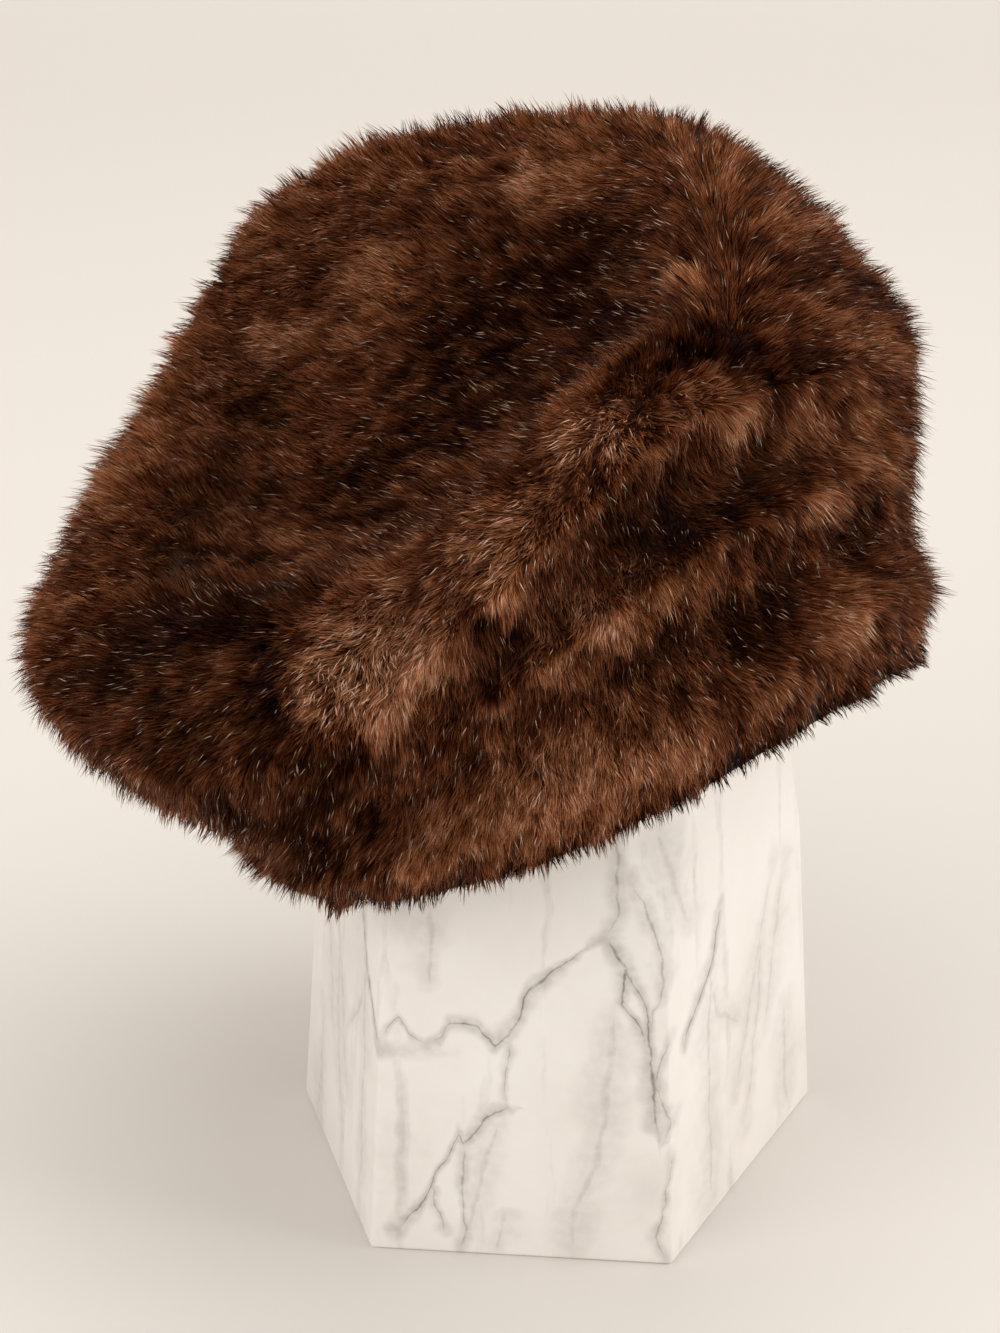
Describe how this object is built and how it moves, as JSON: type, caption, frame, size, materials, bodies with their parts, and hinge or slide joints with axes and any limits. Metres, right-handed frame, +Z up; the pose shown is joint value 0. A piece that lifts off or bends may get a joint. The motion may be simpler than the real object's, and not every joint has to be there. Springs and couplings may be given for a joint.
{
  "type": "fur beret on a marble display stand",
  "caption": "Soft brown mink fur beret with a tall slouched crown and a rolled fur band, tilted on a tapered faceted marble display block.",
  "frame": {"origin": "on the underside of the marble block, in the middle of its foot", "axes": "+Z up, -Y towards the front of the hat as it is shown, +X to the wearer's left seen from the front"},
  "size_m": [0.2934, 0.2883, 0.3416],
  "materials": {
    "marble": "satin",
    "pelt_leather": "matte",
    "mink_fur": "matte"
  },
  "bodies": {
    "root": {"stand": "marble", "crown_shell": "pelt_leather", "crown_fur": "mink_fur", "band_shell": "pelt_leather", "band_fur": "mink_fur"}
  },
  "joints": []
}
